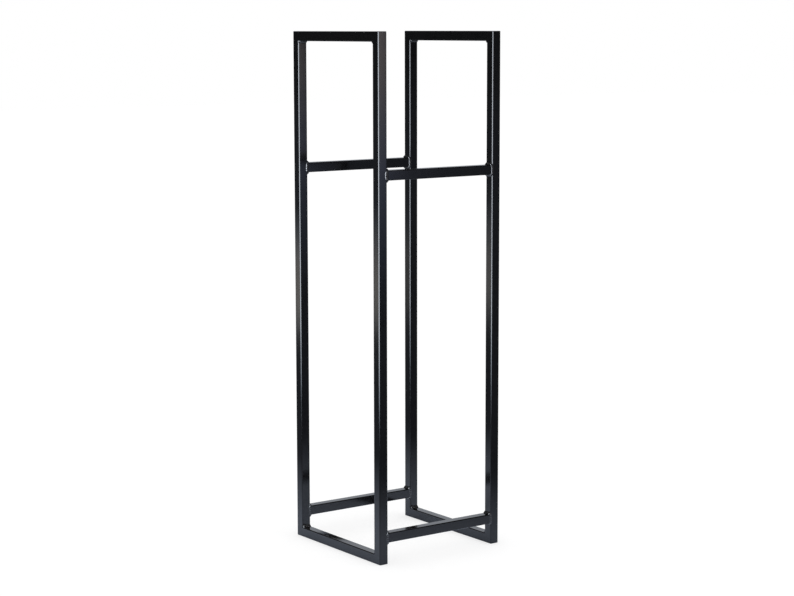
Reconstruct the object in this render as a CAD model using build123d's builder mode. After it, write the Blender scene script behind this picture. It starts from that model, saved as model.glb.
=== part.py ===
"""Firewood log rack: two mitred side frames of square steel tube, tied by four welded cross rails.

Frame: +Z up, the front of the rack faces -Y, and the origin is on the floor at the middle of the base.
The side frames stand in planes of constant X. The cross rails run along X between their uprights.
All sizes are in millimetres.
"""

import os

from build123d import *

# ---- overall sizes ----
rack_width = 300.0  # outside to outside, along the cross rails
rack_depth = 300.0  # outside to outside, along the side frames
rack_height = 1050.0

# ---- square tube, the same stock for every member ----
tube_size = 20.0
tube_wall = 1.5
tube_corner_radius = 2.0

# ---- places of the cross rails ----
upper_gap = 247.0  # clear gap from the top rails down to the upper cross rails
lower_gap = 23.0  # clear gap from the bottom rails up to the lower cross rails

# ---- weld beads ----
corner_weld_leg = 5.0  # inside the corners of the side frames
corner_weld_throat = 0.4  # how flat that bead's face is: 0.29 is a hollow quarter round, 0.5 is flat
corner_weld_inset = 0.5  # how far the bead stops short of the tube's faces
rail_weld_leg = 4.5  # above and below each cross rail, and along it
rail_weld_crown = 1.0  # how far the bead stands proud of the front and rear faces
rail_weld_lap = 0.6  # how far it laps past the rounded edge of the upright
rail_weld_reach = 2.5  # how far it laps over the front and rear faces of the cross rail
rail_weld_root = 0.4  # how far its toes are sunk into the tubes before they are cut to the skin

# ---- worked-out sizes ----
half_tube = tube_size / 2
bore_size = tube_size - 2 * tube_wall
bore_corner_radius = max(tube_corner_radius - tube_wall, 0.1 * tube_wall)
frame_x = rack_width / 2 - half_tube  # centre plane of a side frame
upright_y = rack_depth / 2 - half_tube  # centre line of an upright
inner_face_x = rack_width / 2 - tube_size  # the side frames' faces towards each other
top_rail_z = rack_height - half_tube
upper_rail_z = rack_height - tube_size - upper_gap - half_tube
lower_rail_z = tube_size + lower_gap + half_tube
cross_rail_length = 2 * inner_face_x

SIDES = {"left": -1, "right": 1}
ENDS = {"front": -1, "rear": 1}
FRAME_LEVELS = {"bottom": -1, "top": 1}
CROSS_LEVELS = {"lower": lower_rail_z, "upper": upper_rail_z}


def export_piece(part, name):
    """Labels a finished piece and writes it under its own name."""
    part.label = name
    export_step(part, f"parts/{name}.step")


def upright_plane(side, end):
    """Section plane of an upright, on the floor and looking up."""
    return Plane(origin=(side * frame_x, end * upright_y, 0), x_dir=(1, 0, 0), z_dir=(0, 0, 1))


def frame_rail_plane(side, level):
    """Section plane of a side frame's top or bottom rail, at the front and looking back."""
    height = top_rail_z if level > 0 else half_tube
    return Plane(origin=(side * frame_x, -rack_depth / 2, height), x_dir=(1, 0, 0), z_dir=(0, 1, 0))


def cross_rail_plane(end, height):
    """Section plane of a cross rail, on the left frame's inner face and looking right."""
    return Plane(origin=(-inner_face_x, end * upright_y, height), x_dir=(0, 1, 0), z_dir=(1, 0, 0))


def mitre_plane(side, end, level, keep_upright):
    """45 degree cut through a corner of a side frame, with its normal towards the kept piece."""
    corner_z = rack_height if level > 0 else 0
    sign = 1 if keep_upright else -1
    normal = (0, sign * end, -sign * level)
    return Plane(origin=(side * frame_x, end * rack_depth / 2, corner_z), z_dir=normal)


def make_tube(name, section_plane, length, cuts=()):
    """One length of square tube, with its ends cut off behind the given planes."""
    with BuildPart() as tube:
        with BuildSketch(section_plane):
            RectangleRounded(tube_size, tube_size, tube_corner_radius)
            RectangleRounded(bore_size, bore_size, bore_corner_radius, mode=Mode.SUBTRACT)
        extrude(amount=length)
        for cut in cuts:
            split(bisect_by=cut, keep=Keep.TOP)
    export_piece(tube.part, name)


def clear_tube(section_plane, length):
    """Takes a tube's solid outline away from the piece being built, so that a bead lies on its skin."""
    with BuildSketch(section_plane) as outline:
        RectangleRounded(tube_size, tube_size, tube_corner_radius)
    extrude(outline.sketch, amount=length, mode=Mode.SUBTRACT)


def make_corner_weld(name, side, end, level):
    """Fillet bead in the inside corner of a side frame, nearly from face to face of the tube."""
    inner_y = end * (rack_depth / 2 - tube_size)
    inner_z = rack_height - tube_size if level > 0 else tube_size
    section_plane = Plane(
        origin=(side * frame_x - half_tube + corner_weld_inset, inner_y, inner_z),
        x_dir=(0, -end, 0),
        z_dir=(1, 0, 0),
    )
    rise = -level * section_plane.y_dir.Z  # which way up the sketch the corner opens
    leg = corner_weld_leg
    root = -tube_corner_radius
    throat = corner_weld_throat * leg
    with BuildPart() as weld:
        with BuildSketch(section_plane):
            with BuildLine():
                Polyline(
                    (leg, 0),
                    (leg, rise * root),
                    (root, rise * root),
                    (root, rise * leg),
                    (0, rise * leg),
                )
                ThreePointArc((0, rise * leg), (throat, rise * throat), (leg, 0))
            make_face()
        extrude(amount=tube_size - 2 * corner_weld_inset)
        clear_tube(upright_plane(side, end), rack_height)
        clear_tube(frame_rail_plane(side, level), rack_depth)
    export_piece(weld.part, name)


def make_rail_weld(name, side, end, height):
    """Bead all round the end of a cross rail, lapping over the upright that it meets."""
    joint = Plane(
        origin=(side * inner_face_x, end * upright_y, height),
        x_dir=(0, 1, 0),
        z_dir=(-side, 0, 0),
    )
    lap = tube_corner_radius + rail_weld_lap
    sunk = -rail_weld_root
    # Each row is a place along the rail, then how far the bead stands off its faces and its edges.
    sections = [
        (-lap, sunk, sunk),
        (-lap / 2, 0.75 * rail_weld_crown, rail_weld_leg / 2),
        (0, rail_weld_crown, rail_weld_leg),
        (rail_weld_reach / 2, 0.75 * rail_weld_crown, rail_weld_leg - 0.6 * rail_weld_reach),
        (rail_weld_reach, sunk, rail_weld_leg - rail_weld_reach),
        (rail_weld_leg, sunk, sunk),
    ]
    with BuildPart() as weld:
        for along, proud, rise in sections:
            with BuildSketch(joint.offset(along)):
                RectangleRounded(
                    tube_size + 2 * proud,
                    tube_size + 2 * rise,
                    tube_corner_radius + proud,
                )
        loft(ruled=True)
        clear_tube(upright_plane(side, end), rack_height)
        clear_tube(cross_rail_plane(end, height), cross_rail_length)
    export_piece(weld.part, name)


os.makedirs("parts", exist_ok=True)

for side_name, side in SIDES.items():
    for end_name, end in ENDS.items():
        make_tube(
            f"{side_name}_{end_name}_upright",
            upright_plane(side, end),
            rack_height,
            [mitre_plane(side, end, level, keep_upright=True) for level in FRAME_LEVELS.values()],
        )
    for level_name, level in FRAME_LEVELS.items():
        make_tube(
            f"{side_name}_{level_name}_rail",
            frame_rail_plane(side, level),
            rack_depth,
            [mitre_plane(side, end, level, keep_upright=False) for end in ENDS.values()],
        )
        for end_name, end in ENDS.items():
            make_corner_weld(f"{side_name}_{level_name}_{end_name}_corner_weld", side, end, level)

for level_name, height in CROSS_LEVELS.items():
    for end_name, end in ENDS.items():
        make_tube(
            f"{level_name}_{end_name}_cross_rail",
            cross_rail_plane(end, height),
            cross_rail_length,
        )
        for side_name, side in SIDES.items():
            make_rail_weld(f"{level_name}_{end_name}_{side_name}_rail_weld", side, end, height)
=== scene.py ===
"""Firewood log rack: the looks of a tall, narrow rack of square steel tube, welded and powder-coated black.

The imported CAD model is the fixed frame. Every tube and every weld bead in it is replaced by a finer mesh
in the same place: tubes swept from a rounded square with ground mitres, and beads laid along each seam
with the ripples of a hand-held torch. Everything is in metres, +Z up, with the rack's front facing -Y.
"""

import logging
import math
from dataclasses import dataclass
from enum import Enum

import bpy
from mathutils import Matrix, Vector

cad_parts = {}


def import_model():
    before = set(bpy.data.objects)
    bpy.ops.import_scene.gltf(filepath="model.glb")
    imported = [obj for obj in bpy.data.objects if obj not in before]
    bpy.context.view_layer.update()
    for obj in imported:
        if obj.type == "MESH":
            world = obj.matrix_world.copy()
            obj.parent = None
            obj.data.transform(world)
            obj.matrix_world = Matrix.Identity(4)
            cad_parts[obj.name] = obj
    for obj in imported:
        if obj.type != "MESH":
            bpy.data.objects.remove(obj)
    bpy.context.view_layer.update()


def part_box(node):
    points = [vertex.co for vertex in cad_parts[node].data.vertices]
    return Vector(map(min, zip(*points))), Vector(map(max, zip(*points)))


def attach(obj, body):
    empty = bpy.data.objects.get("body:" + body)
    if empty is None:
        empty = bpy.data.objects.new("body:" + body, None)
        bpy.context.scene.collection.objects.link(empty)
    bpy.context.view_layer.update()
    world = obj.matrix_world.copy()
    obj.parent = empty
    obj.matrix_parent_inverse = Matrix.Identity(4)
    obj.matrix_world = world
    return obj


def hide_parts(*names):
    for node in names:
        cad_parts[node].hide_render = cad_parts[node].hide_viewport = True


MM = 0.001
X_AXIS, Y_AXIS, Z_AXIS = Vector((1, 0, 0)), Vector((0, 1, 0)), Vector((0, 0, 1))
BODY = "root"
log = logging.getLogger("log_rack")


class Side(Enum):
    """The rack's two side frames, with the sign of their X."""

    LEFT = -1
    RIGHT = 1


class End(Enum):
    """The open ends of the rack, with the sign of their Y."""

    FRONT = -1
    REAR = 1


class Level(Enum):
    """The two rails of a side frame, with the way that each looks out."""

    BOTTOM = -1
    TOP = 1


class Tier(Enum):
    """The two heights at which cross rails tie the side frames."""

    LOWER = "lower"
    UPPER = "upper"


# How heavily each cross-rail weld was laid by hand, where 1 is even.
WELD_HEFTS = {
    (Tier.UPPER, End.FRONT, Side.LEFT): 1.40,
    (Tier.UPPER, End.FRONT, Side.RIGHT): 0.80,
    (Tier.UPPER, End.REAR, Side.LEFT): 1.00,
    (Tier.UPPER, End.REAR, Side.RIGHT): 0.95,
    (Tier.LOWER, End.FRONT, Side.LEFT): 0.75,
    (Tier.LOWER, End.FRONT, Side.RIGHT): 0.75,
    (Tier.LOWER, End.REAR, Side.LEFT): 0.75,
    (Tier.LOWER, End.REAR, Side.RIGHT): 0.85,
}


def label(option: Enum) -> str:
    """Returns an option's name as the part's node names spell it."""
    return option.name.lower()


def seed_of(name: str) -> int:
    """Returns a small whole number that is always the same for the same name."""
    return sum((index + 1) * ord(letter) for index, letter in enumerate(name)) % 97


# ---------------------------------------------------------------- node trees


class NodeSheet:
    """Writes nodes and links into one node tree, a call for each node."""

    def __init__(self, tree: bpy.types.NodeTree) -> None:
        """Empties the geometry or shader tree that it writes into."""
        self.tree = tree
        tree.nodes.clear()

    def add(self, kind: str, feeds: dict | None = None, **settings: object) -> bpy.types.Node:
        """Adds one node, sets its options and feeds its inputs.

        Args:
            kind: The node's type name.
            feeds: Values or output sockets by input name or index.
            **settings: The node's own options.

        Returns:
            The new node.
        """
        node = self.tree.nodes.new(kind)
        for option, value in settings.items():
            setattr(node, option, value)
        for key, value in (feeds or {}).items():
            self.feed(node.inputs[key], value)
        return node

    def take(self, kind: str, feeds: dict | None = None, **settings: object) -> bpy.types.NodeSocket:
        """Adds one node as add does, and returns its first output."""
        return self.add(kind, feeds, **settings).outputs[0]

    def feed(self, socket: bpy.types.NodeSocket, value: object) -> None:
        """Links an output to an input, or sets the input's own value.

        Args:
            socket: The input.
            value: An output socket, or the value.
        """
        if isinstance(value, bpy.types.NodeSocket):
            self.tree.links.new(value, socket)
        else:
            socket.default_value = value

    def math(self, operation: str, *values: object) -> bpy.types.NodeSocket:
        """Adds a Math node.

        Args:
            operation: The operation, such as MULTIPLY.
            *values: Its inputs in order, as numbers or sockets.

        Returns:
            The node's result.
        """
        return self.take("ShaderNodeMath", dict(enumerate(values)), operation=operation)

    def product(self, first: object, *others: object) -> bpy.types.NodeSocket:
        """Adds the Math nodes that multiply numbers.

        Args:
            first: The first number or socket.
            *others: The others, in order.

        Returns:
            All of them multiplied.
        """
        result = first
        for value in others:
            result = self.math("MULTIPLY", result, value)
        return result

    def rest(self, share: object) -> bpy.types.NodeSocket:
        """Adds a Math node, and returns what is left of 1 when a share is taken."""
        return self.math("SUBTRACT", 1.0, share)

    def axes(self, vector: object) -> bpy.types.bpy_prop_collection:
        """Adds a Separate XYZ node, and returns its outputs X, Y and Z."""
        return self.add("ShaderNodeSeparateXYZ", {0: vector}).outputs

    def spot(self) -> bpy.types.NodeSocket:
        """Adds a Texture Coordinate node, and returns its Object output."""
        return self.add("ShaderNodeTexCoord").outputs["Object"]

    def read(self, name: str, kind: str = "FLOAT") -> bpy.types.NodeSocket:
        """Adds a node that reads a named attribute, which is 0 where it isn't stored."""
        return self.take("GeometryNodeInputNamedAttribute", {"Name": name}, data_type=kind)

    def mark(self, geometry: object, name: str, value: object) -> bpy.types.NodeSocket:
        """Adds a node that stores a named number on the points, and returns the geometry."""
        feeds = {"Geometry": geometry, "Name": name, "Value": value}
        return self.take("GeometryNodeStoreNamedAttribute", feeds)

    def join(self, *parts: bpy.types.NodeSocket) -> bpy.types.NodeSocket:
        """Adds a Join Geometry node.

        Args:
            *parts: The geometries, in order.

        Returns:
            All of them as one.
        """
        join = self.add("GeometryNodeJoinGeometry")
        for part in parts:
            self.feed(join.inputs[0], part)
        return join.outputs[0]

    def scale(self, vector: object, factor: object) -> bpy.types.NodeSocket:
        """Adds a Vector Math node that multiplies a vector by a number, and returns its result."""
        return self.take("ShaderNodeVectorMath", {0: vector, "Scale": factor}, operation="SCALE")

    def sum(self, first: object, second: object) -> bpy.types.NodeSocket:
        """Adds a Vector Math node that adds two vectors, and returns its result."""
        return self.take("ShaderNodeVectorMath", {0: first, 1: second}, operation="ADD")

    def ramp(self, value: object, low: float, high: float, to_low: float, to_high: float,
             smooth: bool = False) -> bpy.types.NodeSocket:
        """Adds a clamped Map Range node.

        Args:
            value: What is mapped.
            low: The value that gives to_low.
            high: The value that gives to_high.
            to_low: Result at the low end.
            to_high: Result at the high end.
            smooth: Whether the ramp eases in and out.

        Returns:
            The mapped value.
        """
        kind = "SMOOTHSTEP" if smooth else "LINEAR"
        feeds = {"Value": value, "From Min": low, "From Max": high, "To Min": to_low, "To Max": to_high}
        return self.take("ShaderNodeMapRange", feeds, interpolation_type=kind)

    def noise(self, vector: object, scale: object, detail: float, seed: object) -> bpy.types.NodeSocket:
        """Adds a seeded noise texture and returns its grey value, from 0 to 1 about a mean of 0.5."""
        feeds = {"Vector": vector, "W": seed, "Scale": scale, "Detail": detail}
        return self.take("ShaderNodeTexNoise", feeds, noise_dimensions="4D")

    def mix_numbers(self, factor: object, first: object, second: object) -> bpy.types.NodeSocket:
        """Adds a Mix node for numbers, and returns its result."""
        return self.take("ShaderNodeMix", {0: factor, 2: first, 3: second})

    def mix_colours(self, factor: object, first: object, second: object) -> bpy.types.NodeSocket:
        """Adds a Mix node for colours.

        Args:
            factor: The share of the second colour.
            first: The first colour, as three numbers or a socket.
            second: The second colour, in the same way.

        Returns:
            The mixed colour.
        """
        node = self.add("ShaderNodeMix", data_type="RGBA")
        for index, value in ((0, factor), (6, first), (7, second)):
            self.feed(node.inputs[index], (*value, 1) if isinstance(value, tuple) else value)
        return node.outputs[2]


class GeometryRecipe:
    """A geometry node tree with named inputs, baked to a plain mesh."""

    def __init__(self, name: str, numbers: tuple[str, ...]) -> None:
        """Makes the tree, with an input named Coat for its material.

        Args:
            name: The tree's name.
            numbers: Names of its number inputs.
        """
        self.tree = bpy.data.node_groups.new(name, "GeometryNodeTree")
        self.sheet = NodeSheet(self.tree)
        face = self.tree.interface
        face.new_socket("Geometry", in_out="INPUT", socket_type="NodeSocketGeometry")
        for title in numbers:
            face.new_socket(title, in_out="INPUT", socket_type="NodeSocketFloat")
        face.new_socket("Coat", in_out="INPUT", socket_type="NodeSocketMaterial")
        face.new_socket("Geometry", in_out="OUTPUT", socket_type="NodeSocketGeometry")
        self.inputs = self.sheet.add("NodeGroupInput").outputs

    def close(self, geometry: bpy.types.NodeSocket) -> None:
        """Ends the tree: real geometry only, in the material given by the input named Coat.

        Args:
            geometry: What the tree has made.
        """
        real = self.sheet.take("GeometryNodeRealizeInstances", {"Geometry": geometry})
        feeds = {"Geometry": real, "Material": self.inputs["Coat"]}
        self.sheet.add("NodeGroupOutput", {0: self.sheet.take("GeometryNodeSetMaterial", feeds)})

    def bake(self, source: bpy.types.Object, values: dict[str, object], weigh_normals: bool) -> None:
        """Runs the tree on an object and keeps the result as its plain mesh.

        Args:
            source: The object, which loses its modifiers.
            values: The tree's input values by name.
            weigh_normals: Whether large faces keep their own normals, so that flats stay flat.
        """
        run = source.modifiers.new("recipe", "NODES")
        run.node_group = self.tree
        for item in self.tree.interface.items_tree:
            if item.in_out == "INPUT" and item.name in values:
                run[item.identifier] = values[item.name]
        if weigh_normals:
            weigh = source.modifiers.new("weigh", "WEIGHTED_NORMAL")
            weigh.keep_sharp = True
            weigh.weight = 100
        depsgraph = bpy.context.evaluated_depsgraph_get()
        mesh = bpy.data.meshes.new_from_object(source.evaluated_get(depsgraph))
        source.modifiers.clear()
        spare = source.data
        source.data = mesh
        bpy.data.meshes.remove(spare)


def new_object(name: str, mesh: bpy.types.Mesh | None = None) -> bpy.types.Object:
    """Makes a mesh object at the origin.

    Args:
        name: The object's name.
        mesh: Its mesh, or None for an empty one.

    Returns:
        The object, linked to the scene.
    """
    piece = bpy.data.objects.new(name, mesh or bpy.data.meshes.new(name))
    bpy.context.scene.collection.objects.link(piece)
    return piece


def flat_panel(name: str, width: float, height: float, material: bpy.types.Material) -> bpy.types.Object:
    """Makes a flat rectangle round the origin, facing +Z.

    Args:
        name: The object's name.
        width: Its size along X.
        height: Its size along Y.
        material: What it is made of.

    Returns:
        The panel, linked to the scene.
    """
    wide, high = width / 2, height / 2
    mesh = bpy.data.meshes.new(name)
    corners = [(-wide, -high, 0), (wide, -high, 0), (wide, high, 0), (-wide, high, 0)]
    mesh.from_pydata(corners, [], [(0, 1, 2, 3)])
    mesh.materials.append(material)
    return new_object(name, mesh)


def new_material(name: str) -> tuple[bpy.types.Material, NodeSheet]:
    """Makes a material with an empty node tree.

    Args:
        name: The material's name.

    Returns:
        The material, and the sheet of its tree.
    """
    material = bpy.data.materials.new(name)
    material.use_nodes = True
    return material, NodeSheet(material.node_tree)


def settle(piece: bpy.types.Object, node: str) -> None:
    """Makes a finished piece stand for its CAD node and ride with the rack.

    Args:
        piece: The piece.
        node: Its CAD node.
    """
    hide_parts(node)
    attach(piece, BODY)
    log.info("%s: %d faces, for %s", piece.name, len(piece.data.polygons), node)


# ---------------------------------------------------------------- finishes


@dataclass(frozen=True)
class PowderCoat:
    """Black powder coat, baked to a gloss that is a little uneven.

    Attributes:
        name: Material name.
        slot: Name of the part's material slot for this coat; not used.
        shade: Linear colour of the coat.
        dust_shade: Linear colour of the dust that lies on level faces.
        gloss: Specular level, where 0.5 is a thin even coat and more is one that has pooled.
        roughness: Mean roughness of the gloss.
        unevenness: How far the roughness strays, in soft patches.
        mottle: How much lighter the light parts of its mottling are.
        dust: Least and most share of dust on a level face.
        patch_size: Size of its soft patches.
        streak_size: Size of its finer streaks.
        peel_size: Size of the orange-peel dimples.
        peel_depth: Depth of the orange-peel dimples.
        grain_size: Size of the powder's own grain.
        grain_depth: Height of the powder's grain.
    """

    name: str
    slot: str
    shade: tuple[float, float, float]
    dust_shade: tuple[float, float, float] = (0.16, 0.155, 0.15)
    gloss: float = 0.5
    roughness: float = 0.12
    unevenness: float = 0.025
    mottle: float = 1.35
    dust: tuple[float, float] = (0.01, 0.05)
    patch_size: float = 60 * MM
    streak_size: float = 9 * MM
    peel_size: float = 1.6 * MM
    peel_depth: float = 0.0045 * MM
    grain_size: float = 0.25 * MM
    grain_depth: float = 0.001 * MM
    gloss_greys = (0.3, 0.7)  # the noise's grey values between which the gloss goes from low to high
    mottle_greys = (0.35, 0.65)  # the same for the mottling
    dust_greys = (0.4, 0.7)  # and for the dust
    dusty_from = 0.75  # how squarely a face looks up before dust stays on it, where 1 is level

    def material(self) -> bpy.types.Material:
        """Makes the coat as a node material on Object coordinates.

        Returns:
            The material.
        """
        coat, sheet = new_material(self.name)
        coat.diffuse_color = (*self.shade, 1.0)
        place = sheet.add("ShaderNodeTexCoord")
        spot = place.outputs["Object"]
        patches = sheet.noise(spot, 1 / self.patch_size, detail=3.0, seed=0.0)
        streaks = sheet.noise(spot, 1 / self.streak_size, detail=4.0, seed=3.0)
        feeds = {
            "IOR": 1.5,
            "Specular IOR Level": self.gloss,
            "Base Color": self._colour(sheet, place.outputs["Normal"], streaks),
            "Roughness": self._roughness(sheet, patches, streaks),
            "Normal": self._relief(sheet, spot),
        }
        sheet.add("ShaderNodeOutputMaterial", {"Surface": sheet.take("ShaderNodeBsdfPrincipled", feeds)})
        return coat

    def _colour(self, sheet: NodeSheet, normal: bpy.types.NodeSocket,
                streaks: bpy.types.NodeSocket) -> bpy.types.NodeSocket:
        """Makes the colour: black, mottled a little, with a breath of dust on level faces.

        Args:
            sheet: The coat's sheet.
            normal: The normal on Object coordinates.
            streaks: The finer noise.

        Returns:
            The colour.
        """
        lighter = tuple(self.mottle * part for part in self.shade)
        mottled = sheet.mix_colours(sheet.ramp(streaks, *self.mottle_greys, 0.0, 1.0), self.shade, lighter)
        level = sheet.ramp(sheet.axes(normal)["Z"], self.dusty_from, 1.0, 0.0, 1.0, smooth=True)
        share = sheet.product(level, sheet.ramp(streaks, *self.dust_greys, *self.dust))
        return sheet.mix_colours(share, mottled, self.dust_shade)

    def _roughness(self, sheet: NodeSheet, patches: bpy.types.NodeSocket,
                   streaks: bpy.types.NodeSocket) -> bpy.types.NodeSocket:
        """Makes the roughness: soft patches, with finer streaks at a third of their strength.

        Args:
            sheet: The coat's sheet.
            patches: The broad noise.
            streaks: The finer noise.

        Returns:
            The roughness.
        """
        low, high = self.roughness - self.unevenness, self.roughness + self.unevenness
        third = self.unevenness / 3
        broad = sheet.ramp(patches, *self.gloss_greys, low, high)
        return sheet.math("ADD", broad, sheet.ramp(streaks, *self.gloss_greys, -third, third))

    def _relief(self, sheet: NodeSheet, spot: bpy.types.NodeSocket) -> bpy.types.NodeSocket:
        """Makes the relief: orange peel, and the powder's grain over it.

        Args:
            sheet: The coat's sheet.
            spot: The place on Object coordinates.

        Returns:
            The normal.
        """
        peel = sheet.noise(spot, 1 / self.peel_size, detail=1.5, seed=1.0)
        grain = sheet.noise(spot, 1 / self.grain_size, detail=1.0, seed=2.0)
        dimples = sheet.take("ShaderNodeBump", {"Strength": 1.0, "Distance": self.peel_depth, "Height": peel})
        feeds = {"Strength": 1.0, "Distance": self.grain_depth, "Height": grain, "Normal": dimples}
        return sheet.take("ShaderNodeBump", feeds)


# ---------------------------------------------------------------- tubes


@dataclass
class SquareTube:
    """Square steel tube swept from one recipe, cut square or mitred, with its mitre edges ground round.

    In the recipe a tube runs up +Z from the origin, and +Y is the long side of its mitres.

    Attributes:
        size: Its outside size.
        coat: Its finish.
        material: The finish as a material.
        wall: Thickness of its wall.
        corner_radius: Outside radius of its long edges.
        ground_radius: Radius of the ground edges at its mitres.
    """

    size: float
    coat: PowderCoat
    material: bpy.types.Material
    wall: float = 1.5 * MM
    corner_radius: float = 2.0 * MM
    ground_radius: float = 1.2 * MM
    stations = 5  # rings of vertices round each end, over which a ground edge is rounded
    outer_steps = 8  # facets in each rounded outer edge
    bore_steps = 3  # facets in each rounded edge of the bore
    sharp_past = math.radians(50)  # the turn past which an edge is shaded sharp
    merge_within = 0.002 * MM

    def __post_init__(self) -> None:
        """Makes the recipe for this rack's tube."""
        numbers = ("Length", "Size", "Wall", "Corner Radius", "Ground Radius", "Mitre")
        self.recipe = GeometryRecipe("square_tube", numbers)
        self._draw()

    def make(self, node: str, origin: Vector, along: Vector, outward: Vector, length: float,
             mitred: bool) -> bpy.types.Object:
        """Makes one tube where a CAD node is.

        Args:
            node: The CAD node that it stands for.
            origin: Centre of its section at the start.
            along: Unit vector along the tube.
            outward: Unit vector towards the long side of its mitres.
            length: Its full length.
            mitred: Whether both ends are cut at 45 degrees, and not square.

        Returns:
            The finished piece.
        """
        piece = new_object(f"{node}_tube")
        values = {
            "Length": length,
            "Size": self.size,
            "Wall": self.wall,
            "Corner Radius": self.corner_radius,
            "Ground Radius": self.ground_radius,
            "Mitre": 1.0 if mitred else 0.0,
            "Coat": self.material,
        }
        self.recipe.bake(piece, values, weigh_normals=True)
        turn = Matrix((outward.cross(along), outward, along)).transposed().to_4x4()
        piece.data.transform(Matrix.Translation(origin) @ turn)
        settle(piece, node)
        return piece

    def _draw(self) -> None:
        """Draws the tree that sweeps, mitres and closes a tube."""
        sheet, given = self.recipe.sheet, self.recipe.inputs
        outer = self._profile(given["Size"], given["Corner Radius"], self.outer_steps)
        bore_size = sheet.math("SUBTRACT", given["Size"], sheet.product(given["Wall"], 2.0))
        bore_radius = sheet.math("SUBTRACT", given["Corner Radius"], given["Wall"])
        bore = self._profile(bore_size, bore_radius, self.bore_steps)
        path = self._path()
        skin = sheet.take("GeometryNodeCurveToMesh", {"Curve": path, "Profile Curve": outer})
        inside = sheet.take("GeometryNodeCurveToMesh", {"Curve": path, "Profile Curve": bore})
        inside = sheet.take("GeometryNodeFlipFaces", {"Mesh": inside})
        ring = sheet.take("GeometryNodeFillCurve", {"Curve": sheet.join(outer, bore)})
        foot = sheet.take("GeometryNodeFlipFaces", {"Mesh": ring})
        head = sheet.mark(ring, "at_head", 1.0)
        shaped = self._cut_ends(sheet.join(skin, inside, foot, head))
        merge = {"Geometry": shaped, "Distance": self.merge_within}
        self.recipe.close(self._shade(sheet.take("GeometryNodeMergeByDistance", merge)))

    def _profile(self, size: object, radius: object, steps: int) -> bpy.types.NodeSocket:
        """Makes a rounded square.

        Args:
            size: Its size.
            radius: Radius of its corners.
            steps: Facets in each corner.

        Returns:
            A closed curve in the XY plane.
        """
        sheet = self.recipe.sheet
        square = sheet.take("GeometryNodeCurvePrimitiveQuadrilateral", {"Width": size, "Height": size})
        feeds = {"Curve": square, "Radius": radius, "Count": steps}
        return sheet.take("GeometryNodeFilletCurve", feeds, mode="POLY")

    def _path(self) -> bpy.types.NodeSocket:
        """Makes the centre line, whose points stand a metre apart until _cut_ends moves every ring.

        Returns:
            The line, with one point for each ring, marked with its ring and its end.
        """
        sheet = self.recipe.sheet
        last = 2 * self.stations - 1
        line = sheet.take("GeometryNodeCurvePrimitiveLine", {"End": (0, 0, float(last))})
        path = sheet.take("GeometryNodeResampleCurve", {"Curve": line, "Count": last + 1})
        index = sheet.take("GeometryNodeInputIndex")
        from_end = sheet.math("MINIMUM", index, sheet.math("SUBTRACT", float(last), index))
        path = sheet.mark(path, "station", sheet.math("DIVIDE", from_end, self.stations - 1.0))
        return sheet.mark(path, "at_head", sheet.math("GREATER_THAN", index, last / 2))

    def _cut_ends(self, shell: bpy.types.NodeSocket) -> bpy.types.NodeSocket:
        """Puts every ring in its place.

        A point's ring is a turn of up to 45 degrees round the ground edge. How much of that rounding a
        point takes is its share, which goes from 0 on the side faces to 1 on the long side's face.

        Args:
            shell: The tube's walls and end rings, as swept.

        Returns:
            The shell with its ends cut square or mitred, and the mitres' long edges ground round.
        """
        sheet, given = self.recipe.sheet, self.recipe.inputs
        parts = sheet.axes(sheet.take("GeometryNodeInputPosition"))
        station, at_head = sheet.read("station"), sheet.read("at_head")
        half = sheet.math("DIVIDE", given["Size"], 2.0)
        past_flat = sheet.math("ADD", sheet.math("SUBTRACT", parts["Y"], half), given["Corner Radius"])
        share = sheet.math("DIVIDE", past_flat, given["Corner Radius"])
        share = sheet.product(sheet.ramp(share, 0.0, 1.0, 0.0, 1.0), given["Mitre"])
        turn = sheet.product(sheet.rest(station), math.pi / 4)
        radius = given["Ground Radius"]
        sink = sheet.product(radius, sheet.rest(sheet.math("COSINE", turn)))
        rounded = sheet.product(radius, sheet.rest(sheet.math("SINE", turn)))
        step = sheet.mix_numbers(share, sheet.product(radius, station), rounded)
        across = sheet.math("SUBTRACT", parts["Y"], sheet.product(sink, share))
        slope = sheet.product(sheet.math("SUBTRACT", half, parts["Y"]), given["Mitre"])
        low = sheet.math("ADD", slope, step)
        high = sheet.math("SUBTRACT", given["Length"], low)
        height = sheet.mix_numbers(at_head, low, high)
        place = sheet.take("ShaderNodeCombineXYZ", {0: parts["X"], 1: across, 2: height})
        return sheet.take("GeometryNodeSetPosition", {"Geometry": shell, "Position": place})

    def _shade(self, mesh: bpy.types.NodeSocket) -> bpy.types.NodeSocket:
        """Shades a mesh smooth all over, but sharp where it was cut.

        Args:
            mesh: The tube's mesh.

        Returns:
            The shaded mesh.
        """
        sheet = self.recipe.sheet
        smooth = sheet.take("GeometryNodeSetShadeSmooth", {"Geometry": mesh})
        angle = sheet.add("GeometryNodeInputMeshEdgeAngle").outputs["Unsigned Angle"]
        sharp = sheet.math("GREATER_THAN", angle, self.sharp_past)
        feeds = {"Geometry": smooth, "Selection": sharp, "Shade Smooth": False}
        return sheet.take("GeometryNodeSetShadeSmooth", feeds, domain="EDGE")


# ---------------------------------------------------------------- weld beads


@dataclass
class SeamPoint:
    """One place along a seam that a bead covers.

    Attributes:
        first_toe: Where the bead's edge lies on the first tube.
        second_toe: Where its other edge lies on the second tube.
        lift: Unit vector out of the bead's face.
        fullness: How full the bead is here, from 0 where it fades out to 1.
    """

    first_toe: Vector
    second_toe: Vector
    lift: Vector
    fullness: float = 1.0


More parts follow.
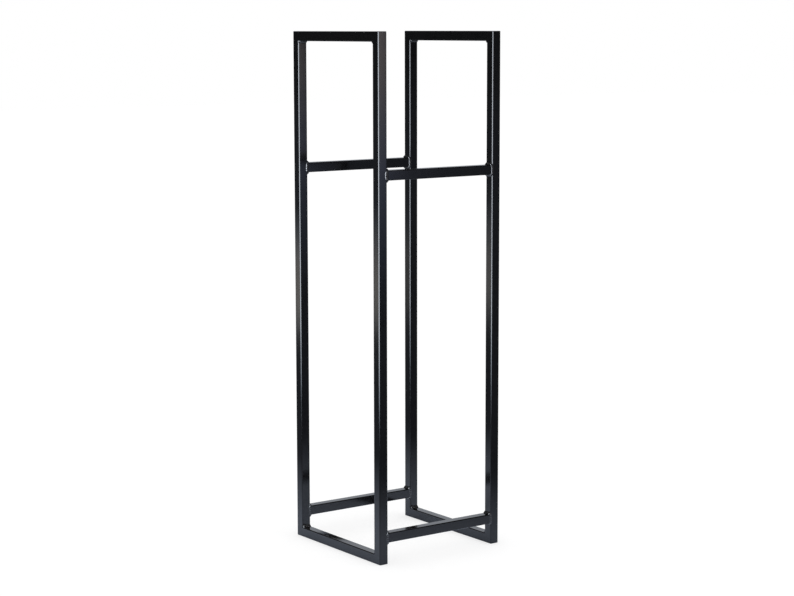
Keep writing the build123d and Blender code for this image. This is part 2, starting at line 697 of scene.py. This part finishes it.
@dataclass
class WeldBead:
    """A bead laid by a hand-held torch: a crowned strip with overlapping ripples that wanders a little.

    Attributes:
        coat: Its finish.
        material: The finish as a material.
        root_depth: How far its root is buried in the tubes.
        crown: Height of its face's arch.
        fatness: How square that arch is, where 2 is a plain one.
        pitch: Length from ripple to ripple.
        ripple_height: Height of its ripples.
        ripple_bow: How far a ripple's middle runs ahead of its ends.
        wander: How far it wanders to each side.
        wander_size: Size of its wandering.
        toe_wander: How much of the wander its edges take.
        grain: Height of its rough grain.
        grain_size: Size of the grain.
    """

    coat: PowderCoat
    material: bpy.types.Material
    root_depth: float = 0.9 * MM
    crown: float = 0.40 * MM
    fatness: float = 2.6
    pitch: float = 4.2 * MM
    ripple_height: float = 0.50 * MM
    ripple_bow: float = 1.6 * MM
    wander: float = 0.45 * MM
    wander_size: float = 5.0 * MM
    toe_wander: float = 0.45
    grain: float = 0.10 * MM
    grain_size: float = 1.4 * MM
    face_steps = 12  # quads across its face

    def __post_init__(self) -> None:
        """Makes the recipe for this rack's beads."""
        numbers = ("Crown", "Ripple Height", "Wander", "Wander Size", "Grain", "Grain Size", "Seed")
        self.recipe = GeometryRecipe("weld_bead", numbers)
        self._draw()

    def lay(self, node: str, seam: list[SeamPoint], closed: bool, heft: float = 1.0) -> bpy.types.Object:
        """Lays one bead along a seam where a CAD node is.

        Args:
            node: The CAD node that it stands for.
            seam: The places along the seam, evenly spaced.
            closed: Whether the seam ends where it starts.
            heft: How heavily it is laid, where 1 is even. A light bead is flatter, and a heavy one spreads
                but rises no higher.

        Returns:
            The finished piece, whose unevenness is its own.
        """
        piece = new_object(f"{node}_bead", self._strip(node, seam, closed))
        rise = min(heft, 1.0)
        values = {
            "Crown": self.crown * rise,
            "Ripple Height": self.ripple_height * rise,
            "Wander": self.wander,
            "Wander Size": self.wander_size,
            "Grain": self.grain,
            "Grain Size": self.grain_size,
            "Seed": float(seed_of(node)),
            "Coat": self.material,
        }
        self.recipe.bake(piece, values, weigh_normals=False)
        settle(piece, node)
        return piece

    def _strip(self, name: str, seam: list[SeamPoint], closed: bool) -> bpy.types.Mesh:
        """Makes the bead as a closed strip with a flat face, marked for the recipe.

        Args:
            name: The mesh's name.
            seam: The places along the seam.
            closed: Whether the seam ends where it starts.

        Returns:
            The strip, with the marks ripple, cover, lift and sideways on its points.
        """
        points, marks = [], {"ripple": [], "cover": [], "lift": [], "sideways": []}
        runs = self._runs(seam, closed)
        turns = max(1, round(runs[-1] / self.pitch))
        for place, run in zip(seam, runs):
            sideways = place.second_toe - place.first_toe
            middle = (place.first_toe + place.second_toe) / 2
            ring = []
            for step in range(self.face_steps + 1):
                across = 2 * step / self.face_steps - 1
                ahead = self.ripple_bow * (1 - across * across)
                phase = (run + ahead) / runs[-1] * turns
                cover = (1 - abs(across) ** self.fatness) * place.fullness
                ring.append((middle + sideways * across / 2, phase, cover))
            buried = place.lift * self.root_depth
            ring += [(spot - buried, 0.0, 0.0) for spot in (place.second_toe, middle, place.first_toe)]
            for spot, phase, cover in ring:
                points.append(spot)
                marks["ripple"].append(phase)
                marks["cover"].append(cover)
                marks["lift"].extend(place.lift)
                marks["sideways"].extend(sideways.normalized())
        rows, size = len(seam), self.face_steps + 4
        faces = [
            (row * size + column, row * size + (column + 1) % size,
             (row + 1) % rows * size + (column + 1) % size, (row + 1) % rows * size + column)
            for row in range(rows if closed else rows - 1)
            for column in range(size)
        ]
        if not closed:
            faces.append(tuple(reversed(range(size))))
            faces.append(tuple((rows - 1) * size + column for column in range(size)))
        mesh = bpy.data.meshes.new(name)
        mesh.from_pydata(points, [], faces)
        if self._inside_out(seam, faces, points):
            mesh.flip_normals()
        for mark, values in marks.items():
            vector = len(values) == 3 * len(points)
            kind, key = ("FLOAT_VECTOR", "vector") if vector else ("FLOAT", "value")
            mesh.attributes.new(mark, kind, "POINT").data.foreach_set(key, values)
        return mesh

    def _runs(self, seam: list[SeamPoint], closed: bool) -> list[float]:
        """Measures along a seam.

        Args:
            seam: The places along the seam.
            closed: Whether the seam ends where it starts.

        Returns:
            The run at each place, and last the whole length.
        """
        middles = [(place.first_toe + place.second_toe) / 2 for place in seam]
        if closed:
            middles.append(middles[0])
        runs = [0.0]
        for here, there in zip(middles, middles[1:]):
            runs.append(runs[-1] + (there - here).length)
        return runs

    def _inside_out(self, seam: list[SeamPoint], faces: list[tuple], points: list[Vector]) -> bool:
        """Tells whether a strip's face, as wound, looks into the tubes.

        Args:
            seam: The places along the seam.
            faces: The strip's faces.
            points: The strip's points.

        Returns:
            True if it has to be turned.
        """
        corners = [points[index] for index in faces[self.face_steps // 2][:3]]
        normal = (corners[1] - corners[0]).cross(corners[2] - corners[1])
        return normal.dot(seam[0].lift) < 0

    def _draw(self) -> None:
        """Draws the tree that crowns and ripples a marked strip."""
        sheet, given = self.recipe.sheet, self.recipe.inputs
        spot = sheet.take("GeometryNodeInputPosition")
        ripple, cover = sheet.read("ripple"), sheet.read("cover")
        lift, sideways = sheet.read("lift", "FLOAT_VECTOR"), sheet.read("sideways", "FLOAT_VECTOR")
        broad = sheet.noise(spot, sheet.math("DIVIDE", 1.0, given["Wander Size"]), 1.0, given["Seed"])
        fine = sheet.noise(spot, sheet.math("DIVIDE", 1.0, given["Grain Size"]), 2.0, given["Seed"])
        stray = sheet.math("SUBTRACT", broad, 0.5)
        phase = sheet.product(sheet.math("ADD", ripple, stray), math.pi)
        edge = sheet.math("SQRT", cover)
        crown = sheet.product(given["Crown"], cover)
        wave = sheet.product(given["Ripple Height"], sheet.math("ABSOLUTE", sheet.math("SINE", phase)), edge)
        speck = sheet.product(given["Grain"], sheet.math("SUBTRACT", fine, 0.5), edge)
        height = sheet.math("ADD", sheet.math("ADD", crown, wave), speck)
        reach = sheet.ramp(cover, 0.0, 1.0, self.toe_wander, 1.0)
        drift = sheet.product(given["Wander"], sheet.product(stray, 2.0), reach)
        shift = sheet.sum(sheet.scale(lift, height), sheet.scale(sideways, drift))
        bead = sheet.take("GeometryNodeSetPosition", {"Geometry": given["Geometry"], "Offset": shift})
        self.recipe.close(sheet.take("GeometryNodeSetShadeSmooth", {"Geometry": bead}))


# ---------------------------------------------------------------- sub-assemblies


@dataclass
class SideFrame:
    """One side of the rack: two uprights and two rails, mitred into a rectangle and welded inside.

    Attributes:
        side: Which side it is.
        tube: The tube that it is made of.
        bead: The bead that its corners are welded with.
        weld_leg: How far the corner beads reach up each face.
        weld_inset: How far the corner beads stop short of the tube's faces.
        weld_taper: Share of the leg that is left at the corner beads' ends.
        weld_bluntness: How suddenly the corner beads end, where 2 is a plain arch.
        seam_step: Spacing of places along a seam.
    """

    side: Side
    tube: SquareTube
    bead: WeldBead
    weld_leg: float = 4.6 * MM
    weld_inset: float = 0.5 * MM
    weld_taper: float = 0.72
    weld_bluntness: int = 10
    seam_step: float = 0.3 * MM

    def __post_init__(self) -> None:
        """Reads the frame's place and size from its CAD nodes."""
        name = label(self.side)
        low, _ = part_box(f"{name}_front_upright")
        _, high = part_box(f"{name}_rear_upright")
        self.middle_x = (low.x + high.x) / 2
        self.front, self.rear, self.base, self.head = low.y, high.y, low.z, high.z

    def build(self) -> list[bpy.types.Object]:
        """Builds the frame.

        Returns:
            Its tubes and its beads.
        """
        pieces = [self._upright(end) for end in End]
        pieces += [self._rail(level) for level in Level]
        pieces += [self._corner_bead(level, end) for level in Level for end in End]
        return pieces

    def _upright(self, end: End) -> bpy.types.Object:
        """Makes an upright, standing on the floor.

        Args:
            end: Which end it is at.

        Returns:
            The upright.
        """
        half = self.tube.size / 2
        depth = self.front + half if end is End.FRONT else self.rear - half
        origin = Vector((self.middle_x, depth, self.base))
        node = f"{label(self.side)}_{label(end)}_upright"
        return self.tube.make(node, origin, Z_AXIS, Y_AXIS * end.value, self.head - self.base, mitred=True)

    def _rail(self, level: Level) -> bpy.types.Object:
        """Makes a rail, running from front to rear.

        Args:
            level: Whether it is the top or the bottom one.

        Returns:
            The rail.
        """
        half = self.tube.size / 2
        height = self.head - half if level is Level.TOP else self.base + half
        origin = Vector((self.middle_x, self.front, height))
        node = f"{label(self.side)}_{label(level)}_rail"
        return self.tube.make(node, origin, Y_AXIS, Z_AXIS * level.value, self.rear - self.front, mitred=True)

    def _corner_bead(self, level: Level, end: End) -> bpy.types.Object:
        """Lays the fillet bead inside one corner, across the tube from face to face.

        Args:
            level: Which rail the corner is at.
            end: Which upright it is at.

        Returns:
            The bead.
        """
        half, radius = self.tube.size / 2, self.tube.corner_radius
        inner_y = self.front + 2 * half if end is End.FRONT else self.rear - 2 * half
        inner_z = self.head - 2 * half if level is Level.TOP else self.base + 2 * half
        inward, rise = -Y_AXIS * end.value, -Z_AXIS * level.value
        reach = half - self.weld_inset
        count = round(2 * reach / self.seam_step)
        seam = []
        for step in range(count + 1):
            across = reach * (2 * step / count - 1)
            past_flat = max(0.0, abs(across) - (half - radius))
            sunk = radius - math.sqrt(radius * radius - past_flat * past_flat)
            corner = Vector((self.middle_x + across, inner_y, inner_z))
            fullness = math.sqrt(max(0.0, 1 - (abs(across) / reach) ** self.weld_bluntness))
            leg = self.weld_leg * (self.weld_taper + (1 - self.weld_taper) * fullness)
            seam.append(SeamPoint(
                first_toe=corner + rise * leg - inward * sunk,
                second_toe=corner + inward * leg - rise * sunk,
                lift=(inward + rise).normalized(),
                fullness=fullness,
            ))
        node = f"{label(self.side)}_{label(level)}_{label(end)}_corner_weld"
        return self.bead.lay(node, seam, closed=False)


@dataclass
class CrossRail:
    """One cross rail, cut square between the side frames and welded all round at both ends.

    Attributes:
        tier: Which pair it belongs to.
        end: Whether it ties the front or the rear uprights.
        tube: The tube that it is made of.
        bead: The bead that its ends are welded with.
        weld_leg: How far the beads reach above and below the rail, and along it there.
        weld_reach: How far the beads lap over the rail's flush faces.
        weld_lap: How far the beads lap past the upright's rounded edge.
        weld_bow: Share of that lap that is lost at the rail's corners.
        seam_step: Spacing of places along a seam.
    """

    tier: Tier
    end: End
    tube: SquareTube
    bead: WeldBead
    weld_leg: float = 4.3 * MM
    weld_reach: float = 2.4 * MM
    weld_lap: float = 1.6 * MM
    weld_bow: float = 0.6
    seam_step: float = 0.3 * MM

    def build(self) -> list[bpy.types.Object]:
        """Builds the cross rail.

        Returns:
            The rail and its two beads.
        """
        node = f"{self.tier.value}_{label(self.end)}_cross_rail"
        low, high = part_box(node)
        middle = (low + high) / 2
        start = Vector((low.x, middle.y, middle.z))
        outward = Y_AXIS * self.end.value
        pieces = [self.tube.make(node, start, X_AXIS, outward, high.x - low.x, mitred=False)]
        for side in Side:
            joint = Vector((low.x if side is Side.LEFT else high.x, middle.y, middle.z))
            name = f"{self.tier.value}_{label(self.end)}_{label(side)}_rail_weld"
            heft = WELD_HEFTS[self.tier, self.end, side]
            seam = self._seam(joint, -X_AXIS * side.value, heft)
            pieces.append(self.bead.lay(name, seam, closed=True, heft=heft))
        return pieces

    def _outline(self) -> list[tuple[float, float, float]]:
        """Returns the tube's outline as places with the angle of their normals.

        Returns:
            Evenly spaced (across, up, angle), once round from the middle of the outer face.
        """
        half, radius = self.tube.size / 2, self.tube.corner_radius
        flat, bend = 2 * (half - radius), radius * math.pi / 2
        quarter = flat + bend
        count = round(4 * quarter / self.seam_step)
        places = []
        for step in range(count):
            run = (step / count * 4 * quarter + flat / 2) % (4 * quarter)
            turns, rest = divmod(run, quarter)
            angle = min(max(rest - flat, 0.0) / radius, math.pi / 2)
            out = half - radius + radius * math.cos(angle)
            side = min(rest, flat) - flat / 2 + radius * math.sin(angle)
            face = turns * math.pi / 2
            across = out * math.cos(face) - side * math.sin(face)
            up = out * math.sin(face) + side * math.cos(face)
            places.append((across, up, face + angle))
        return places

    def _seam(self, joint: Vector, along: Vector, heft: float) -> list[SeamPoint]:
        """Returns the seam round one end of the rail.

        Args:
            joint: Centre of the rail's end, on the upright's face.
            along: Unit vector from the joint along the rail.
            heft: How heavily the bead is laid on the flush faces.

        Returns:
            The places once round. On the flush faces the bead bridges the groove beside the upright's
            rounded edge, and above and below the rail it is a fillet.
        """
        radius, outward = self.tube.corner_radius, Y_AXIS * self.end.value
        seam = []
        for across, up, angle in self._outline():
            normal = outward * math.cos(angle) + Z_AXIS * math.sin(angle)
            tilt = abs(math.sin(angle))
            share = tilt ** 2
            skin = joint + outward * across + Z_AXIS * up
            flush_reach = self.weld_reach * heft
            reach = flush_reach + (self.weld_leg - flush_reach) * share
            lap = self.weld_lap * heft * (1 - self.weld_bow * (2 * up / self.tube.size) ** 2)
            behind = radius * (1 - tilt) + lap * (1 - tilt) ** 2
            climb = Z_AXIS * math.copysign(self.weld_leg * share, math.sin(angle))
            seam.append(SeamPoint(
                first_toe=skin - along * behind + climb,
                second_toe=skin + along * reach,
                lift=(normal + along * share).normalized(),
            ))
        return seam


# ---------------------------------------------------------------- studio


@dataclass
class SoftBox:
    """A panel of light that fades at its edges and that the camera itself doesn't see.

    Attributes:
        name: Object name.
        bearing: Which way it stands from the rack, from +Y towards +X, in degrees.
        distance: How far off it stands.
        middle: Height of its centre.
        width: Size across.
        height: Size up.
        glow: How bright it is.
        shift: How far it stands aside, clockwise as seen from above.
        tint: Its colour in the middle.
        rim_tint: Its colour where it has faded.
        feather: Share of its half width over which it fades out at the sides.
        feather_up: Share of its half height over which it fades out at the top and the bottom.
        falloff: How steeply it fades upwards and downwards, where 1 is evenly.
        stoop: How far it leans over, in degrees: 0 stands upright and 90 looks straight down.
        only_mirrored: Whether it shows in glossy things only, and lights nothing.
        echo: Share of it that is left in the mirror image of a mirror image, if it is only mirrored.
    """

    name: str
    bearing: float
    distance: float
    middle: float
    width: float
    height: float
    glow: float
    shift: float = 0.0
    tint: tuple[float, float, float] = (1.0, 1.0, 1.0)
    rim_tint: tuple[float, float, float] = (0.80, 0.94, 1.15)
    feather: float = 0.3
    feather_up: float = 0.3
    falloff: float = 1.0
    stoop: float = 0.0
    only_mirrored: bool = False
    echo: float = 0.2

    def build(self) -> bpy.types.Object:
        """Stages the panel.

        Returns:
            The panel.
        """
        panel = flat_panel(self.name, self.width, self.height, self._material())
        angle = math.radians(self.bearing)
        away = Vector((math.sin(angle), math.cos(angle), 0))
        aside = away.cross(Z_AXIS)
        upright = Matrix((-Z_AXIS.cross(away), Z_AXIS, -away)).transposed().to_4x4()
        lean = Matrix.Rotation(math.radians(self.stoop), 4, "X")
        place = away * self.distance + aside * self.shift + Z_AXIS * self.middle
        panel.matrix_world = Matrix.Translation(place) @ upright @ lean
        panel.visible_camera = False
        panel.visible_shadow = False
        panel.visible_diffuse = not self.only_mirrored
        return panel

    def _material(self) -> bpy.types.Material:
        """Makes light that shines from the panel's front, and that fades to clear at its edges.

        Returns:
            The material.
        """
        glow, sheet = new_material(self.name)
        parts = sheet.axes(sheet.spot())
        across = self._fade(sheet, parts["X"], self.width / 2, self.feather)
        up = self._fade(sheet, parts["Y"], self.height / 2, self.feather_up)
        power = sheet.product(across, sheet.math("POWER", up, self.falloff))
        colour = sheet.mix_colours(power, self.rim_tint, self.tint)
        light = sheet.take("ShaderNodeEmission", {"Color": colour, "Strength": self.glow})
        behind = sheet.add("ShaderNodeNewGeometry").outputs["Backfacing"]
        shown = sheet.product(power, sheet.rest(behind))
        if self.only_mirrored:
            depth = sheet.add("ShaderNodeLightPath").outputs["Ray Depth"]
            shown = sheet.product(shown, sheet.ramp(depth, 1.0, 2.0, 1.0, self.echo))
        clear = sheet.take("ShaderNodeBsdfTransparent")
        panel = sheet.take("ShaderNodeMixShader", {0: shown, 1: clear, 2: light})
        sheet.add("ShaderNodeOutputMaterial", {"Surface": panel})
        return glow

    def _fade(self, sheet: NodeSheet, place: object, half: float, feather: float) -> bpy.types.NodeSocket:
        """Returns 1 in the middle of the panel, falling evenly to 0 at its edges along one axis."""
        off_centre = sheet.math("DIVIDE", sheet.math("ABSOLUTE", place), half)
        return sheet.ramp(off_centre, 1 - feather, 1.0, 1.0, 0.0)


@dataclass
class Studio:
    """The plain pale floor, the soft light and the camera.

    Attributes:
        floor_size: Width of the floor.
        floor_shade: How much light the floor's matt face returns, from 0 to 1.
        floor_lift: Light added to the floor, so that it is as white as the surroundings.
        mirrored_shade: Linear colour of the floor where the gloss shows it, a little cool: a painted
            reflection of cool light on the floor.
        mirrored_centre: Centre of the painted pool of light that the gloss shows on the floor.
        mirrored_bright: How far from there the floor still shows fully.
        mirrored_dark: How far from there it has faded away.
        mirrored_least: What is left of it beyond.
        backdrop_bearing: Which way the pale backdrop stands, from +Y towards +X, in degrees.
        backdrop_glow: How bright the backdrop is.
        backdrop_full: How far each way it shows fully, in degrees.
        backdrop_edge: How far each way it has faded away, in degrees.
        backdrop_foot: Share of its glow that is left at its foot.
        backdrop_rise: How steeply the gloss looks up at its foot and where it is fully bright.
        room_glow: How bright the dark room is in the gloss.
        room_tint: The room's colour in the gloss.
        ambient: How bright the surroundings are for matt things.
        camera_place: Where the camera stands.
        camera_bearing: Which way it looks, from +Y towards +X, in degrees.
        camera_dip: How far it looks down, in degrees.
        camera_roll: How far it leans, in degrees.
        lens: Focal length in millimetres on a 36 mm wide sensor.
    """

    floor_size: float = 40.0
    floor_shade: float = 0.40
    floor_lift: float = 0.65
    mirrored_shade: tuple[float, float, float] = (0.86, 0.96, 1.16)
    mirrored_centre: tuple[float, float, float] = (-0.03, 0.08, 0.0)
    mirrored_bright: float = 0.25
    mirrored_dark: float = 0.90
    mirrored_least: float = 0.125
    backdrop_bearing: float = 35.8
    backdrop_glow: float = 0.76
    backdrop_full: float = 24.0
    backdrop_edge: float = 42.0
    backdrop_foot: float = 0.65
    backdrop_rise: tuple[float, float] = (0.08, 0.20)
    room_glow: float = 0.05
    room_tint: tuple[float, float, float] = (0.92, 0.97, 1.06)
    ambient: float = 0.95
    camera_place: tuple[float, float, float] = (-2.3460, -3.2500, 1.0595)
    camera_bearing: float = 35.84
    camera_dip: float = 7.85
    camera_roll: float = -0.10
    lens: float = 89.38

    def build(self) -> None:
        """Sets up the whole studio."""
        self._floor()
        self._world()
        self._camera()
        for box in self._boxes():
            box.build()
        view = bpy.context.scene.view_settings
        view.view_transform = "Standard"
        view.look = "None"

    def _boxes(self) -> list[SoftBox]:
        """Sets out the panels of light.

        Returns:
            The panels, unbuilt.
        """
        cool = (0.93, 1.0, 1.09)
        return [
            SoftBox("left_box", bearing=-98.0, distance=1.6, middle=0.97, width=1.5, height=2.06,
                    glow=15.0, tint=cool, feather=0.2, feather_up=0.28, only_mirrored=True),
            SoftBox("camera_box", bearing=-146.0, distance=1.6, middle=0.97, width=1.1, height=2.06,
                    glow=14.5, tint=cool, feather=0.4, feather_up=0.28, only_mirrored=True),
            SoftBox("front_skirt", bearing=144.2, distance=3.1, shift=0.18, middle=0.55, width=0.84,
                    height=0.9, glow=0.26, tint=(0.85, 0.94, 1.25), feather=1.0, feather_up=0.7,
                    only_mirrored=True),
            SoftBox("front_box", bearing=144.2, distance=3.0, shift=0.75, middle=1.05, width=1.1, height=2.0,
                    glow=2.5, tint=(1.10, 0.95, 0.89), rim_tint=(0.60, 0.85, 1.55), feather=0.08,
                    feather_up=0.85, falloff=1.7),
            SoftBox("low_box_near", bearing=-35.8, distance=3.0, shift=0.02, middle=0.155, width=0.22,
                    height=0.56, glow=2.3, tint=(1.0, 0.92, 0.84), feather=0.35, feather_up=0.75,
                    only_mirrored=True),
            SoftBox("low_box_far", bearing=-35.8, distance=3.0, shift=-0.24, middle=0.155, width=0.22,
                    height=0.56, glow=1.75, tint=(1.0, 0.94, 0.88), feather=0.5, feather_up=0.75,
                    only_mirrored=True),
            SoftBox("top_box", bearing=33.7, distance=0.36, middle=2.6, width=1.6, height=1.6, glow=1.2,
                    stoop=90),
        ]

    def _floor(self) -> None:
        """Makes the floor, a flat sheet of matt board."""
        flat_panel("floor", self.floor_size, self.floor_size, self._floor_material())

    def _floor_material(self) -> bpy.types.Material:
        """Makes pale board. In the gloss its colour is a painted pool of cool light round the rack, fading
        away from it.

        Returns:
            The material.
        """
        board, sheet = new_material("pale_board")
        places = {0: sheet.spot(), 1: self.mirrored_centre}
        away = sheet.add("ShaderNodeVectorMath", places, operation="DISTANCE").outputs["Value"]
        # Painted light: the floor is still lit by the lamps, but its colour in the gloss is a painted cool
        # pool round the rack that fades away from it.
        near = sheet.ramp(away, self.mirrored_bright, self.mirrored_dark, 1.0, self.mirrored_least)
        cool = sheet.scale(self.mirrored_shade, near)
        mirrored = sheet.add("ShaderNodeLightPath").outputs["Is Glossy Ray"]
        feeds = {
            "Base Color": sheet.mix_colours(mirrored, (self.floor_shade,) * 3, cool),
            "Roughness": 1.0,
            "Specular IOR Level": 0.0,
            "Emission Color": (1, 1, 1, 1),
            "Emission Strength": sheet.product(sheet.rest(mirrored), self.floor_lift),
        }
        sheet.add("ShaderNodeOutputMaterial", {"Surface": sheet.take("ShaderNodeBsdfPrincipled", feeds)})
        return board

    def _world(self) -> None:
        """Makes the surroundings: white to look at, and a dark studio with a backdrop in reflections."""
        world = bpy.data.worlds.new("studio")
        bpy.context.scene.world = world
        world.use_nodes = True
        world.cycles.sampling_method = "NONE"
        sheet = NodeSheet(world.node_tree)
        way = sheet.add("ShaderNodeTexCoord").outputs["Generated"]
        angle = math.radians(self.backdrop_bearing)
        ahead = (math.sin(angle), math.cos(angle), 0.0)
        turned = sheet.add("ShaderNodeVectorMath", {0: way, 1: ahead}, operation="DOT_PRODUCT")
        edge, full = (math.cos(math.radians(reach)) for reach in (self.backdrop_edge, self.backdrop_full))
        beside = sheet.ramp(turned.outputs["Value"], edge, full, 0.0, self.backdrop_glow, smooth=True)
        above = sheet.ramp(sheet.axes(way)["Z"], *self.backdrop_rise, self.backdrop_foot, 1.0)
        backdrop = sheet.product(beside, above)
        mirrored = sheet.math("MAXIMUM", backdrop, self.room_glow)
        path = sheet.add("ShaderNodeLightPath").outputs
        matt = sheet.mix_numbers(path["Is Diffuse Ray"], mirrored, self.ambient)
        seen = sheet.mix_numbers(path["Is Camera Ray"], matt, 1.0)
        tint = sheet.mix_colours(path["Is Glossy Ray"], (1, 1, 1), self.room_tint)
        sky = sheet.take("ShaderNodeBackground", {"Color": tint, "Strength": seen})
        sheet.add("ShaderNodeOutputWorld", {"Surface": sky})

    def _camera(self) -> None:
        """Sets the camera."""
        data = bpy.data.cameras.new("camera")
        data.lens = self.lens
        data.sensor_width = 36.0
        data.clip_start, data.clip_end = 0.05, 100.0
        camera = bpy.data.objects.new("camera", data)
        bpy.context.scene.collection.objects.link(camera)
        bearing, dip = math.radians(self.camera_bearing), math.radians(self.camera_dip)
        level = math.cos(dip)
        ahead = Vector((math.sin(bearing) * level, math.cos(bearing) * level, -math.sin(dip)))
        turn = ahead.to_track_quat("-Z", "Y").to_matrix().to_4x4()
        lean = Matrix.Rotation(math.radians(self.camera_roll), 4, "Z")
        camera.matrix_world = Matrix.Translation(self.camera_place) @ turn @ lean
        bpy.context.scene.camera = camera


# ---------------------------------------------------------------- the rack


def main() -> None:
    """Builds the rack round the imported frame, then the studio."""
    logging.basicConfig(level=logging.INFO, format="%(name)s: %(message)s")
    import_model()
    low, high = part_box("left_front_upright")
    tube_coat = PowderCoat("tube_coat", slot="tube_powder_coat", shade=(0.0020, 0.0020, 0.0023))
    weld_coat = PowderCoat("weld_coat", slot="weld_powder_coat", shade=(0.0100, 0.0100, 0.0105),
                           gloss=0.9, roughness=0.16, peel_size=0.8 * MM)
    tube = SquareTube(high.x - low.x, tube_coat, tube_coat.material())
    bead = WeldBead(weld_coat, weld_coat.material())
    for side in Side:
        pieces = SideFrame(side, tube, bead).build()
        log.info("%s side frame: %d pieces", label(side), len(pieces))
    for tier in Tier:
        for end in End:
            pieces = CrossRail(tier, end, tube, bead).build()
            log.info("%s %s cross rail: %d pieces", tier.value, label(end), len(pieces))
    Studio().build()


if __name__ == "__main__":
    main()
